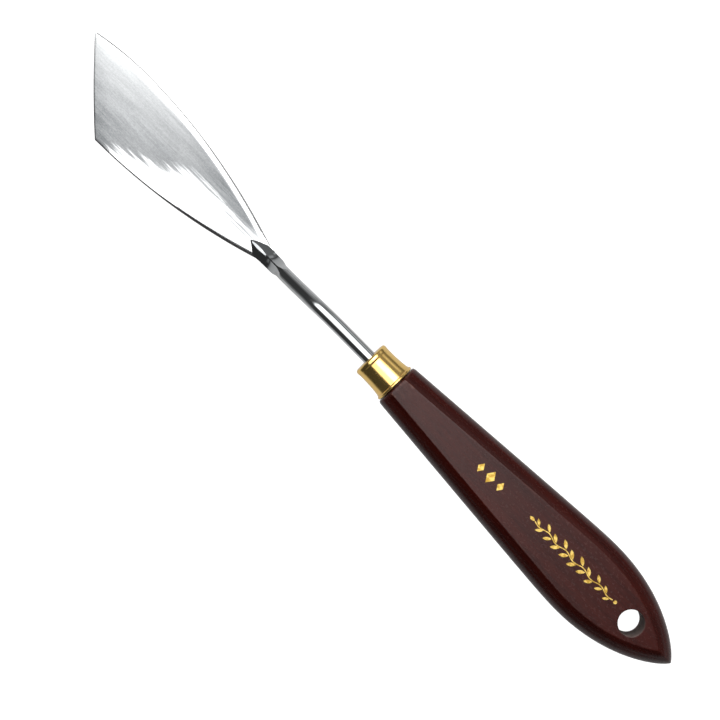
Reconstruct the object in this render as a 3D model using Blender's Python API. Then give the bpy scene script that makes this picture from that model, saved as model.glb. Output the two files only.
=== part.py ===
"""Painting knife with a cranked steel stem and an angled trowel blade.

The knife lies on a bench: the blade is flat on z = 0 and the tail of the handle rests on z = 0.
+X runs from the handle to the blade, +Z is up, and the origin is the middle of the footprint.
Lengths in this file are millimetres until MM turns them into metres.
"""

import math

import bmesh
import bpy
from mathutils import Matrix, Vector

MM = 0.001
GAP = 0.3  # clearance between neighbouring solids

# ---- handle: shaped hardwood, 42 degree chamfers that roll over into the sides ----
HANDLE_LENGTH = 115.4  # tail tip to front shoulder
HANDLE_THICKNESS = 13.6
BELLY_HALF_WIDTH = 13.12
BELLY_FROM_TAIL = 35.6
TAIL_POWER, TAIL_FULLNESS = 2.1, 0.8  # ogive of the tail
TAPER, TAPER_EASE = 0.0805, 6.0  # straight taper towards the ferrule, and how softly it starts
CHAMFER = 4.4  # plan width between the flat face and the outline
CHAMFER_ANGLE = math.radians(42)
HANG_HOLE_FROM_TAIL = 17.7
HANG_HOLE_RADIUS = 4.0
TENON_RADIUS, TENON_LENGTH = 4.95, 10.2
TANG_BORE_RADIUS, TANG_BORE_DEPTH = 3.4, 43.0
AXIS_HEIGHT = 11.5  # handle axis above the bench at the front shoulder

# ---- ferrule: drawn brass cup, waisted, flared towards the handle ----
FERRULE_LENGTH = 11.1
FERRULE_WALL = 0.45
FERRULE_PROFILE = (  # distance from the handle's shoulder, outer radius
    (0.3, 6.62),
    (0.75, 6.6),
    (1.2, 6.3),
    (2.2, 6.02),
    (4.0, 5.82),
    (6.0, 5.7),
    (8.0, 5.66),
    (9.3, 5.69),
    (9.8, 5.78),
    (10.4, 5.77),
    (10.85, 5.56),
    (11.1, 5.15),
)

# ---- stem: round steel rod, cranked, forged to a roof-shaped nose on the blade ----
STEM_RADIUS = 2.15
TANG_LENGTH = 40.0
TANG_FLAT = 1.45  # half thickness over the pressed flats
BEND_X, BEND_RADIUS = 30.0, 28.0  # where the level and the falling runs would meet, and the bend between them
FORGE_START, FORGE_FULL = 46.6, 52.0  # the rod turns from round to roof-shaped between these
SIDE_SET = 0.5  # the blade end of the stem stands this far to +Y of the handle axis
NOSE_SHOULDER, NOSE_TIP = 56.2, 60.7
NOSE_BREAK, NOSE_BREAK_HEIGHT, NOSE_TIP_HEIGHT = 53.8, 2.0, 0.9  # the falling ridge turns nearly level here
NOSE_HALF_WIDTH = 2.8

# ---- blade: spring steel, flat underneath, ground thinner towards the front edge ----
HEEL_START = 50.0
BLADE_ROOT = 55.9
BLADE_WIDEST = 117.4
BLADE_HALF_ROOT, BLADE_HALF_WIDE = 2.87, 12.38
BLADE_POWER = 2.07
BLADE_TIP_X, BLADE_CORNER_X = 137.4, 114.5
TIP_FALL = 0.0052  # how fast the long side curves in beyond the widest point
BLADE_SET = 0.37  # the root of the blade stands this far to +Y
BLADE_YAW = 0.0045  # the blade swings back towards the handle axis by this much per mm
FRONT_BOW = 0.4  # outward bow of the front edge
HEEL_THICKNESS, FRONT_THICKNESS = 0.7, 0.4
EDGE_THICKNESS = 0.22
FLEX_X, FLEX_Z = 70.5, 0.33  # where a bending leaf of this length turns, 15 % of its free length from the nose

CENTRE_X = 11.05  # half way between the tail tip and the blade tip

# the tail's flat underside corner sets the angle of the handle
HALF_T = HANDLE_THICKNESS / 2
TAIL_CORNER = HANDLE_LENGTH - 5.9
HANDLE_TILT = math.asin((AXIS_HEIGHT - HALF_T) / TAIL_CORNER)


# ------------------------------------------------------------------ helpers
def material(name, colour, roughness, metallic):
    made = bpy.data.materials.new(name)
    made.use_nodes = True
    shader = made.node_tree.nodes["Principled BSDF"]
    shader.inputs["Base Color"].default_value = (*colour, 1.0)
    shader.inputs["Roughness"].default_value = roughness
    shader.inputs["Metallic"].default_value = metallic
    return made


def add_object(name, mesh, mat, parent=None, smooth=30.0):
    mesh.materials.append(mat)
    if smooth:
        mesh.shade_smooth()
        mesh.set_sharp_from_angle(angle=math.radians(smooth))
    made = bpy.data.objects.new(name, mesh)
    bpy.context.scene.collection.objects.link(made)
    if parent is not None:
        made.parent = parent
    return made


def empty(name, location=(0, 0, 0), rotation=(0, 0, 0), parent=None):
    made = bpy.data.objects.new(name, None)
    made.location = Vector(location) * MM
    made.rotation_euler = rotation
    bpy.context.scene.collection.objects.link(made)
    made.parent = parent
    return made


def finish(bm, name):
    """Millimetre bmesh to a metre mesh with its faces pointing out."""
    bmesh.ops.remove_doubles(bm, verts=bm.verts, dist=1e-5)
    bmesh.ops.recalc_face_normals(bm, faces=bm.faces)
    bmesh.ops.scale(bm, vec=(MM, MM, MM), verts=bm.verts)
    mesh = bpy.data.meshes.new(name)
    bm.to_mesh(mesh)
    bm.free()
    return mesh


def loft(rings, name):
    """Closed solid through rings of equal point counts."""
    bm = bmesh.new()
    made = [[bm.verts.new(p) for p in ring] for ring in rings]
    count = len(rings[0])
    for a, b in zip(made, made[1:]):
        for i in range(count):
            bm.faces.new((a[i], a[(i + 1) % count], b[(i + 1) % count], b[i]))
    bm.faces.new(made[0])
    bm.faces.new(list(reversed(made[-1])))
    return finish(bm, name)


def turned(profile, name, segments=48, axis="X"):
    """Closed solid of revolution: profile is a closed loop or an axis-to-axis line of (along, radius)."""
    bm = bmesh.new()
    rings = []
    for along, radius in profile:
        if radius < 1e-6:
            rings.append([bm.verts.new(place(along, 0, 0, axis))])
            continue
        rings.append(
            [
                bm.verts.new(
                    place(
                        along,
                        radius * math.cos(2 * math.pi * i / segments),
                        radius * math.sin(2 * math.pi * i / segments),
                        axis,
                    )
                )
                for i in range(segments)
            ]
        )
    pairs = list(zip(rings, rings[1:]))
    if len(rings[0]) > 1:
        pairs.append((rings[-1], rings[0]))
    for a, b in pairs:
        for i in range(segments):
            j = (i + 1) % segments
            if len(a) == 1:
                bm.faces.new((a[0], b[j], b[i]))
            elif len(b) == 1:
                bm.faces.new((a[i], a[j], b[0]))
            else:
                bm.faces.new((a[i], a[j], b[j], b[i]))
    return finish(bm, name)


def place(along, u, v, axis):
    return (along, u, v) if axis == "X" else (u, v, along)


def boolean(target, cutter, operation):
    """Applies a Boolean at once, so that the cutter can go."""
    modifier = target.modifiers.new(operation.title(), "BOOLEAN")
    modifier.operation = operation
    modifier.solver = "EXACT"
    modifier.object = cutter
    bpy.context.view_layer.update()
    graph = bpy.context.evaluated_depsgraph_get()
    mesh = bpy.data.meshes.new_from_object(target.evaluated_get(graph))
    target.modifiers.clear()
    old = target.data
    target.data = mesh
    mesh.name = old.name
    bpy.data.meshes.remove(old)
    bpy.data.objects.remove(cutter)


def smoothstep(t):
    t = min(1.0, max(0.0, t))
    return t * t * (3 - 2 * t)


# ------------------------------------------------------------------ handle
def handle_half_width(s):
    """Half width at distance s from the tail tip."""
    if s < BELLY_FROM_TAIL:
        return (
            BELLY_HALF_WIDTH
            * (1 - ((BELLY_FROM_TAIL - s) / BELLY_FROM_TAIL) ** TAIL_POWER)
            ** TAIL_FULLNESS
        )
    run = s - BELLY_FROM_TAIL
    return BELLY_HALF_WIDTH - TAPER * (
        math.sqrt(run * run + TAPER_EASE**2) - TAPER_EASE
    )


def handle_slope(s):
    s = max(s, 0.02)
    return (handle_half_width(s + 0.01) - handle_half_width(s - 0.01)) / 0.02


def offset_point(s, inset):
    """Plan point of the outline moved inwards by inset, in handle coordinates."""
    slope = handle_slope(s)
    q = math.sqrt(1 + slope * slope)
    square_front = 1 - (s / HANDLE_LENGTH) ** 8
    return (
        -HANDLE_LENGTH + s + inset * slope / q * square_front,
        handle_half_width(s) - inset / q,
    )


def inset_start(inset):
    """Distance from the tail at which the moved outline crosses the centre line."""
    low, high = 0.0, BELLY_FROM_TAIL
    for _ in range(60):
        mid = (low + high) / 2
        if offset_point(mid, inset)[1] > 0:
            high = mid
        else:
            low = mid
    return high


def side_layers(steps):
    """(inset, height) down one side: flat face edge, chamfer, then an arc to the widest line."""
    a = CHAMFER_ANGLE
    radius = (HALF_T - CHAMFER * math.tan(a)) / (
        math.cos(a) - (1 - math.sin(a)) * math.tan(a)
    )
    upper = [(CHAMFER, HALF_T)]
    for k in range(steps + 1):
        angle = a + (math.pi / 2 - a) * k / steps
        upper.append((radius * (1 - math.sin(angle)), radius * math.cos(angle)))
    upper[-1] = (0.0, 0.0)
    return upper + [(inset, -z) for inset, z in reversed(upper[:-1])]


def handle_mesh():
    layers = side_layers(4)
    tail = [0.5 * (1 - math.cos(math.pi * k / 20)) * 0.44 for k in range(11)]
    spread = tail + [
        tail[-1] + (0.9915 - tail[-1]) * (k / 20) for k in range(1, 21)
    ] + [0.9962, 0.999, 1.0]
    shrink = {0.9962: 0.988, 0.999: 0.965, 1.0: 0.935}
    bm = bmesh.new()
    left, right = [], []
    for inset, z in layers:
        start = inset_start(inset)
        a, b = [], []
        for g in spread:
            s = start + (HANDLE_LENGTH - start) * g
            x, y = offset_point(s, inset)
            k = shrink.get(g, 1.0)
            if g == 0.0:
                tip = bm.verts.new((x, 0.0, z))
                a.append(tip)
                b.append(tip)
                continue
            a.append(bm.verts.new((x, y * k, z * k)))
            b.append(bm.verts.new((x, -y * k, z * k)))
        left.append(a)
        right.append(b)
    for side in (left, right):
        for k in range(len(layers) - 1):
            for j in range(len(spread) - 1):
                corners = [
                    side[k][j],
                    side[k][j + 1],
                    side[k + 1][j + 1],
                    side[k + 1][j],
                ]
                bm.faces.new(list(dict.fromkeys(corners)))
    for row in (0, len(layers) - 1):
        for j in range(len(spread) - 1):
            corners = [left[row][j], left[row][j + 1], right[row][j + 1], right[row][j]]
            bm.faces.new(list(dict.fromkeys(corners)))
    bm.faces.new([a[-1] for a in left] + [b[-1] for b in reversed(right)])
    return finish(bm, "handle")


# ------------------------------------------------------------------ stem
PAD = HEEL_THICKNESS + GAP  # height of the underside of the nose


def fall_slope():
    """Tangent of the falling run, which starts at the bend and meets the nose's ridge."""
    high = AXIS_HEIGHT + BEND_X * math.tan(HANDLE_TILT)
    slope = 0.5
    for _ in range(20):
        low = PAD + NOSE_BREAK_HEIGHT - STEM_RADIUS * math.sqrt(1 + slope * slope)
        slope = (high - low) / (NOSE_BREAK - BEND_X)
    return slope


SLOPE = fall_slope()
FALL = math.atan(SLOPE)


def fall_z(x):
    """Height of the rod's centre on the falling run."""
    return AXIS_HEIGHT + BEND_X * math.tan(HANDLE_TILT) - SLOPE * (x - BEND_X)


def stem_path(step):
    """Centre line as (x, z, angle of the section's normal): along the handle axis, round the bend, down to the forging."""
    a = Vector((-TANG_LENGTH, AXIS_HEIGHT - TANG_LENGTH * math.tan(HANDLE_TILT)))
    b = Vector((BEND_X, AXIS_HEIGHT + BEND_X * math.tan(HANDLE_TILT)))
    c = Vector((FORGE_START - 4.0, fall_z(FORGE_START - 4.0)))
    turn = HANDLE_TILT + FALL
    back = BEND_RADIUS * math.tan(turn / 2)
    start = b - (b - a).normalized() * back
    centre = start + Vector(((b - a).y, -(b - a).x)).normalized() * BEND_RADIUS
    made = []
    straight = max(1, int((start - a).length / step))
    for k in range(straight):
        p = a.lerp(start, k / straight)
        made.append((p.x, p.y, HANDLE_TILT))
    arc = max(6, int(BEND_RADIUS * turn / 1.3))
    for k in range(arc + 1):
        angle = HANDLE_TILT - turn * k / arc
        made.append(
            (
                centre.x - BEND_RADIUS * math.sin(angle),
                centre.y + BEND_RADIUS * math.cos(angle),
                angle,
            )
        )
    last = Vector(made[-1][:2])
    down = max(1, int((c - last).length / step))
    for k in range(1, down + 1):
        p = last.lerp(c, k / down)
        made.append((p.x, p.y, -FALL))
    for k in range(1, 6):  # the sections swing upright before the forging
        x = c.x + 4.0 * k / 5
        made.append((x, fall_z(x), -FALL * (1 - k / 5)))
    return made


def side_shift(x):
    return SIDE_SET * smoothstep((x - 22.0) / 24.0)


def half_round(t):
    """Half circle of radius 1 from its lowest point at t = 0 to its highest at t = 1."""
    angle = -math.pi / 2 + math.pi * t
    return math.cos(angle), math.sin(angle)


def roof_section(x, t):
    """(across, height above the underside) of the forged end."""
    if x < NOSE_BREAK:
        k = (x - FORGE_START) / (NOSE_BREAK - FORGE_START)
        top = NOSE_BREAK_HEIGHT + SLOPE * (NOSE_BREAK - x)
        ridge = 0.3 + 1.1 * (1 - smoothstep(k * 1.3))
    else:
        k = (x - NOSE_BREAK) / (NOSE_TIP - NOSE_BREAK)
        top = NOSE_BREAK_HEIGHT + (NOSE_TIP_HEIGHT - NOSE_BREAK_HEIGHT) * k
        ridge = 0.3 + 0.15 * math.sin(math.pi * k) - 0.12 * k
    wide = STEM_RADIUS + (NOSE_HALF_WIDTH - STEM_RADIUS) * smoothstep(
        (x - FORGE_START) / (NOSE_BREAK - FORGE_START)
    )
    if x > NOSE_SHOULDER:
        wide = NOSE_HALF_WIDTH + (0.25 - NOSE_HALF_WIDTH) * (
            (x - NOSE_SHOULDER) / (NOSE_TIP - NOSE_SHOULDER)
        )
    base = max(0.0, fall_z(x) - STEM_RADIUS / math.cos(FALL) - PAD)
    side = 0.9 - 0.55 * smoothstep((x - NOSE_BREAK) / 2.4)
    marks = (
        (0.0, (0.0, base)),
        (0.3, (wide, base)),
        (0.4, (wide, base + side)),
        (0.9, (min(ridge, 0.9 * wide), top)),
        (1.0, (0.0, top)),
    )
    for (t0, p0), (t1, p1) in zip(marks, marks[1:]):
        if t <= t1 + 1e-9:
            k = (t - t0) / (t1 - t0)
            return p0[0] + (p1[0] - p0[0]) * k, p0[1] + (p1[1] - p0[1]) * k
    return marks[-1][1]


def stem_mesh():
    half = 10  # points from bottom middle to top middle
    ts = [k / half for k in range(half + 1)]
    rings = []

    def ring(centre, angle, halves):
        """halves are (across, up) from bottom to top on the +Y side."""
        both = halves + [(-a, u) for a, u in reversed(halves[1:-1])]
        x, y, z = centre
        return [
            (x - u * math.sin(angle), y + a, z + u * math.cos(angle)) for a, u in both
        ]

    def round_halves(stretch, limit):
        found = []
        for t in ts:
            a, u = half_round(t)
            up = u * STEM_RADIUS * stretch
            found.append((a * STEM_RADIUS, max(-limit, min(limit, up))))
        return found

    path = stem_path(3.0)
    for i, (x, z, angle) in enumerate(path):
        flat = smoothstep((-16.0 - x) / 4.0)  # 1 over the pressed flats of the tang
        limit = 9.0 + (TANG_FLAT - 9.0) * flat if flat > 0.999 else 9.0
        if 0 < flat <= 0.999:
            limit = STEM_RADIUS + (TANG_FLAT - STEM_RADIUS) * flat
        straight = FALL + angle if x > BEND_X + 5 else 0.0
        halves = round_halves(1 / math.cos(straight), limit)
        if i == 0:  # chamfered end of the tang
            rings.append(ring((x, 0.0, z), angle, [(a * 0.7, u * 0.7) for a, u in halves]))
            nudge = 0.8
            z += nudge * math.tan(HANDLE_TILT)
            x += nudge
        rings.append(ring((x, side_shift(x), z), angle, halves))
    tall = STEM_RADIUS / math.cos(FALL)
    stations = [FORGE_START + (NOSE_BREAK - FORGE_START) * k / 9 for k in range(1, 10)]
    stations += [NOSE_BREAK + (NOSE_SHOULDER - NOSE_BREAK) * k / 3 for k in range(1, 4)]
    stations += [NOSE_SHOULDER + (NOSE_TIP - NOSE_SHOULDER) * k / 6 for k in range(1, 7)]
    for x in stations:
        m = smoothstep((x - FORGE_START) / (FORGE_FULL - FORGE_START))
        halves = []
        for t in ts:
            a, u = half_round(t)
            rod = (a * STEM_RADIUS, max(0.0, fall_z(x) + u * tall - PAD))
            roof = roof_section(x, t)
            halves.append(
                (rod[0] * (1 - m) + roof[0] * m, rod[1] * (1 - m) + roof[1] * m)
            )
        rings.append(ring((x, side_shift(x), PAD), 0.0, halves))
    return loft(rings, "stem")


# ------------------------------------------------------------------ blade
def blade_middle(x):
    return BLADE_SET - BLADE_YAW * min(x - BLADE_ROOT, 40.0)


def blade_half_width(x):
    if x < BLADE_ROOT:
        return BLADE_HALF_ROOT - 0.35 * smoothstep((BLADE_ROOT - x) / 5.0)
    if x <= BLADE_WIDEST:
        t = (x - BLADE_ROOT) / (BLADE_WIDEST - BLADE_ROOT)
        return BLADE_HALF_WIDE - (BLADE_HALF_WIDE - BLADE_HALF_ROOT) * (
            (1 - t) ** BLADE_POWER
        )
    return BLADE_HALF_WIDE - TIP_FALL * (x - BLADE_WIDEST) ** 2


def blade_thickness(x):
    t = (x - HEEL_START) / (BLADE_TIP_X - HEEL_START)
    return HEEL_THICKNESS + (FRONT_THICKNESS - HEEL_THICKNESS) * smoothstep(t)


def blade_mesh(x0, x1, name):
    """Slab between x0 and x1 whose front, if it reaches the tip, is the slanted working edge."""
    tip_y = blade_middle(BLADE_TIP_X) - blade_half_width(BLADE_TIP_X)
    corner_y = blade_middle(BLADE_CORNER_X) + blade_half_width(BLADE_CORNER_X)
    tip, corner = Vector((BLADE_TIP_X, tip_y)), Vector((BLADE_CORNER_X, corner_y))
    ahead = Vector(((corner - tip).y, -(corner - tip).x)).normalized()
    count = 26
    stations = []
    for k in range(count + 1):
        f = k / count
        if x1 < BLADE_TIP_X - 1e-6:
            x = x0 + (x1 - x0) * f
            stations.append(
                (
                    Vector((x, blade_middle(x) - blade_half_width(x))),
                    Vector((x, blade_middle(x) + blade_half_width(x))),
                )
            )
        else:
            xr, xl = x0 + (BLADE_TIP_X - x0) * f, x0 + (BLADE_CORNER_X - x0) * f
            stations.append(
                (
                    Vector((xr, blade_middle(xr) - blade_half_width(xr))),
                    Vector((xl, blade_middle(xl) + blade_half_width(xl))),
                )
            )
    across = 10
    bevel = 1.1  # width of the ground edge along the sides
    rings = []
    for k, (r, l) in enumerate(stations):
        width = (l - r).length
        row = []
        for j in range(across + 1):
            if j == 0:
                p, q = 0.0, 0.0
            elif j == across:
                p, q = 1.0, 0.0
            else:
                p = (bevel + (width - 2 * bevel) * (j - 1) / (across - 2)) / width
                q = 1.0
            point = r.lerp(l, p)
            if x1 >= BLADE_TIP_X - 1e-6:
                point = point + ahead * FRONT_BOW * 4 * p * (1 - p) * (k / count) ** 6
            top = blade_thickness(point.x)
            low = min(top, EDGE_THICKNESS)
            row.append((point.x, point.y, low + (top - low) * q))
        rings.append(row)
    bm = bmesh.new()
    upper = [[bm.verts.new(p) for p in row] for row in rings]
    lower = [
        [bm.verts.new((row[0][0], row[0][1], 0.0)), bm.verts.new((row[-1][0], row[-1][1], 0.0))]
        for row in rings
    ]
    for a, b in zip(upper, upper[1:]):
        for i in range(across):
            bm.faces.new((a[i], a[i + 1], b[i + 1], b[i]))
    for (a0, a1), (b0, b1), ra, rb in zip(lower, lower[1:], upper, upper[1:]):
        bm.faces.new((a1, a0, b0, b1))
        bm.faces.new((a0, ra[0], rb[0], b0))
        bm.faces.new((ra[-1], a1, b1, rb[-1]))
    for edge, row in ((lower[0], upper[0]), (lower[-1], upper[-1])):
        base = [edge[0]]
        base += [
            bm.verts.new((v.co.x, v.co.y, 0.0)) for v in row[1:-1]
        ] if edge is lower[-1] else []
        base.append(edge[1])
        if edge is lower[0]:
            bm.faces.new([edge[0], edge[1]] + list(reversed(row)))
        else:
            for i in range(across):
                bm.faces.new((base[i], base[i + 1], row[i + 1], row[i]))
            bm.faces.new(base)
    return finish(bm, name)


# ------------------------------------------------------------------ assembly
for old in list(bpy.data.objects):
    bpy.data.objects.remove(old)

wood = material("stained_wood", (0.060, 0.016, 0.010), 0.42, 0.0)
brass = material("brass", (0.86, 0.62, 0.22), 0.16, 1.0)
blade_steel = material("blade_steel", (0.66, 0.68, 0.69), 0.30, 1.0)
stem_steel = material("stem_steel", (0.42, 0.44, 0.46), 0.18, 1.0)
resin = material("resin", (0.72, 0.58, 0.30), 0.35, 0.0)

bench = empty("bench", (-CENTRE_X, 0, 0))
handle_axis = empty(
    "handle_axis", (0, 0, AXIS_HEIGHT), (0, -HANDLE_TILT, 0), parent=bench
)
leaf_pivot = empty("leaf_pivot", (FLEX_X, 0, FLEX_Z), parent=bench)

handle = add_object("handle", handle_mesh(), wood, handle_axis)
tenon = add_object(
    "tenon_union",
    turned(
        [(-6, 0), (-6, TENON_RADIUS), (TENON_LENGTH - 0.5, TENON_RADIUS), (TENON_LENGTH, TENON_RADIUS - 0.5), (TENON_LENGTH, 0)],
        "tenon_union",
    ),
    wood,
    handle_axis,
)
boolean(handle, tenon, "UNION")
bore = add_object(
    "bore_cut",
    turned(
        [
            (-TANG_BORE_DEPTH - 1.6, 0),
            (-TANG_BORE_DEPTH, TANG_BORE_RADIUS),
            (TENON_LENGTH + 3, TANG_BORE_RADIUS),
            (TENON_LENGTH + 3, 0),
        ],
        "bore_cut",
        segments=32,
    ),
    wood,
    handle_axis,
)
boolean(handle, bore, "DIFFERENCE")
rim = HANG_HOLE_RADIUS + 0.45
hole = add_object(
    "hang_hole_cut",
    turned(
        [
            (-HALF_T - 2, 0),
            (-HALF_T - 2, rim + 2),
            (-HALF_T + 0.45, HANG_HOLE_RADIUS),
            (HALF_T - 0.45, HANG_HOLE_RADIUS),
            (HALF_T + 2, rim + 2),
            (HALF_T + 2, 0),
        ],
        "hang_hole_cut",
        segments=40,
        axis="Z",
    ),
    wood,
    handle_axis,
)
hole.location.x = (-HANDLE_LENGTH + HANG_HOLE_FROM_TAIL) * MM
boolean(handle, hole, "DIFFERENCE")

outer = list(FERRULE_PROFILE)
hole_radius = STEM_RADIUS + GAP
inner_front = FERRULE_LENGTH - FERRULE_WALL
ferrule_loop = (
    outer
    + [(FERRULE_LENGTH, hole_radius), (inner_front, hole_radius)]
    + [(inner_front, TENON_RADIUS + GAP), (2.6, TENON_RADIUS + GAP)]
    + [(0.9, 5.75), (0.3, 6.0)]
)
add_object("ferrule", turned(ferrule_loop, "ferrule"), brass, handle_axis)

sleeve_in, sleeve_out = STEM_RADIUS + GAP, TANG_BORE_RADIUS - GAP
tang_end = -TANG_LENGTH / math.cos(HANDLE_TILT)
adhesive_loop = [
    (tang_end - 1.6, 0),
    (tang_end - 1.6, sleeve_out),
    (TENON_LENGTH - 1.0, sleeve_out),
    (TENON_LENGTH - 1.0, sleeve_in),
    (tang_end - GAP, sleeve_in),
    (tang_end - GAP, 0),
]
add_object(
    "tang_adhesive", turned(adhesive_loop, "tang_adhesive", segments=32), resin, handle_axis
)

add_object("stem", stem_mesh(), stem_steel, bench)
add_object(
    "blade_heel", blade_mesh(HEEL_START, FLEX_X - GAP / 2, "blade_heel"), blade_steel, bench
)
leaf = add_object(
    "blade_leaf", blade_mesh(FLEX_X + GAP / 2, BLADE_TIP_X, "blade_leaf"), blade_steel, leaf_pivot
)
leaf.data.transform(Matrix.Translation(-Vector((FLEX_X, 0, FLEX_Z)) * MM))
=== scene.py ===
"""Looks of the painting knife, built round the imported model.

Lengths below are millimetres, as in the design, and MM turns them into metres.
"Part x" is the distance from the handle's front shoulder along the knife; world x is part x - CENTRE_X.
"""

import math

import bmesh
import bpy
import numpy as np
from mathutils import Matrix, Vector


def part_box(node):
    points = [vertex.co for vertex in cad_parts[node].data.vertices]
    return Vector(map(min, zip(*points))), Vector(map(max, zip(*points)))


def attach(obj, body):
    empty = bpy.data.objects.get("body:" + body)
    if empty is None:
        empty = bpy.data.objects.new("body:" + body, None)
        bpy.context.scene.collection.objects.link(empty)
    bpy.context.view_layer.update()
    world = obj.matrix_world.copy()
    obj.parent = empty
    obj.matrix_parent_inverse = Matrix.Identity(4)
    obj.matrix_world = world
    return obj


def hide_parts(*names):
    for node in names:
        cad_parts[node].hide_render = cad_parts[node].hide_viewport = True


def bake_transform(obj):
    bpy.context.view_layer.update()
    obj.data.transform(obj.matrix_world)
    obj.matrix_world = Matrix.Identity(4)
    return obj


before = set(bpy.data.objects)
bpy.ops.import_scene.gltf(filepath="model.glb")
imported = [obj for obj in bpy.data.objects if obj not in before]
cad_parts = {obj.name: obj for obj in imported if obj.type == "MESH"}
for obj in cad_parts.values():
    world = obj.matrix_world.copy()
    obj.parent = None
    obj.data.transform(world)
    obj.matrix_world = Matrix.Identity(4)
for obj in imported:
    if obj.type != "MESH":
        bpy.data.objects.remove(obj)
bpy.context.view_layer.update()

MM = 0.001

# ------------------------------------------------------------------ design values shared with the frame
HANDLE_LENGTH = 115.4
HANDLE_THICKNESS = 13.6
HALF_T = HANDLE_THICKNESS / 2
BELLY_HALF_WIDTH = 13.12
BELLY_FROM_TAIL = 35.6
TAIL_POWER, TAIL_FULLNESS = 2.1, 0.8
TAPER, TAPER_EASE = 0.0805, 6.0
CHAMFER = 4.4
CHAMFER_ANGLE = math.radians(42)
HANG_HOLE_FROM_TAIL = 17.7
HANG_HOLE_RADIUS = 4.0
TENON_RADIUS, TENON_LENGTH = 4.95, 10.2
TANG_BORE_RADIUS, TANG_BORE_DEPTH = 3.4, 43.0
AXIS_HEIGHT = 11.5
FERRULE_LENGTH = 11.1
STEM_RADIUS = 2.15
TANG_LENGTH = 40.0
TANG_FLAT = 1.45
BEND_X, BEND_RADIUS = 30.0, 28.0
FORGE_START, FORGE_FULL = 46.6, 52.0
SIDE_SET = 0.5
NOSE_SHOULDER, NOSE_TIP = 56.3, 60.7
NOSE_BREAK, NOSE_BREAK_HEIGHT, NOSE_TIP_HEIGHT = 53.8, 2.0, 0.55
NOSE_HALF_WIDTH = 2.64
HEEL_START = 50.0
BLADE_ROOT = 55.9
BLADE_WIDEST = 117.4
BLADE_HALF_ROOT, BLADE_HALF_WIDE = 2.87, 12.38
BLADE_POWER = 2.07
BLADE_TIP_X, BLADE_CORNER_X = 137.4, 114.5
TIP_FALL = 0.0052
BLADE_SET = 0.37
BLADE_YAW = 0.0045
FRONT_BOW = 0.4
HEEL_THICKNESS, FRONT_THICKNESS = 0.7, 0.4
EDGE_THICKNESS = 0.22

# the frame itself says where the knife lies
CENTRE_X = -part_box("ferrule")[1].x / MM + FERRULE_LENGTH + 0.0
CENTRE_X = BLADE_TIP_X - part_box("blade_leaf")[1].x / MM
TAIL_CORNER = HANDLE_LENGTH - 5.9
HANDLE_TILT = math.asin((AXIS_HEIGHT - HALF_T) / TAIL_CORNER)


# ------------------------------------------------------------------ small helpers
def smoothstep(t):
    t = min(1.0, max(0.0, t))
    return t * t * (3 - 2 * t)


def finish_mesh(bm, name, merge=1e-5):
    """Millimetre bmesh to a metre mesh with outward faces."""
    bmesh.ops.remove_doubles(bm, verts=bm.verts, dist=merge)
    bmesh.ops.recalc_face_normals(bm, faces=bm.faces)
    bmesh.ops.scale(bm, vec=(MM, MM, MM), verts=bm.verts)
    mesh = bpy.data.meshes.new(name)
    bm.to_mesh(mesh)
    bm.free()
    return mesh


def add_piece(name, mesh, mat, smooth=30.0):
    if mat is not None:
        mesh.materials.append(mat)
    if smooth:
        mesh.shade_smooth()
        mesh.set_sharp_from_angle(angle=math.radians(smooth))
    made = bpy.data.objects.new(name, mesh)
    bpy.context.scene.collection.objects.link(made)
    return made


def put_on_handle_axis(piece):
    turn = Matrix.Rotation(-HANDLE_TILT, 4, "Y")
    piece.data.transform(Matrix.Translation((-CENTRE_X * MM, 0, AXIS_HEIGHT * MM)) @ turn)
    piece.data.update()


def loft(rings, name, merge=1e-5):
    bm = bmesh.new()
    made = [[bm.verts.new(p) for p in ring] for ring in rings]
    count = len(rings[0])
    for a, b in zip(made, made[1:]):
        for i in range(count):
            bm.faces.new((a[i], a[(i + 1) % count], b[(i + 1) % count], b[i]))
    bm.faces.new(made[0])
    bm.faces.new(list(reversed(made[-1])))
    return finish_mesh(bm, name, merge)


def turned(profile, name, segments=96, axis="X"):
    """Solid of revolution from a closed loop, or an axis-to-axis line, of (along, radius)."""
    bm = bmesh.new()
    rings = []
    for along, radius in profile:
        count = 1 if radius < 1e-6 else segments
        ring = []
        for i in range(count):
            angle = 2 * math.pi * i / segments
            u, v = radius * math.cos(angle), radius * math.sin(angle)
            ring.append(bm.verts.new((along, u, v) if axis == "X" else (u, v, along)))
        rings.append(ring)
    pairs = list(zip(rings, rings[1:]))
    if len(rings[0]) > 1:
        pairs.append((rings[-1], rings[0]))
    for a, b in pairs:
        for i in range(segments):
            j = (i + 1) % segments
            if len(a) == 1:
                bm.faces.new((a[0], b[j], b[i]))
            elif len(b) == 1:
                bm.faces.new((a[i], a[j], b[0]))
            else:
                bm.faces.new((a[i], a[j], b[j], b[i]))
    return finish_mesh(bm, name)


def boolean(target, cutter, operation):
    modifier = target.modifiers.new(operation.title(), "BOOLEAN")
    modifier.operation = operation
    modifier.solver = "EXACT"
    modifier.object = cutter
    bpy.context.view_layer.update()
    graph = bpy.context.evaluated_depsgraph_get()
    mesh = bpy.data.meshes.new_from_object(target.evaluated_get(graph))
    target.modifiers.clear()
    old = target.data
    target.data = mesh
    bpy.data.meshes.remove(old)
    bpy.data.objects.remove(cutter)


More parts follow.
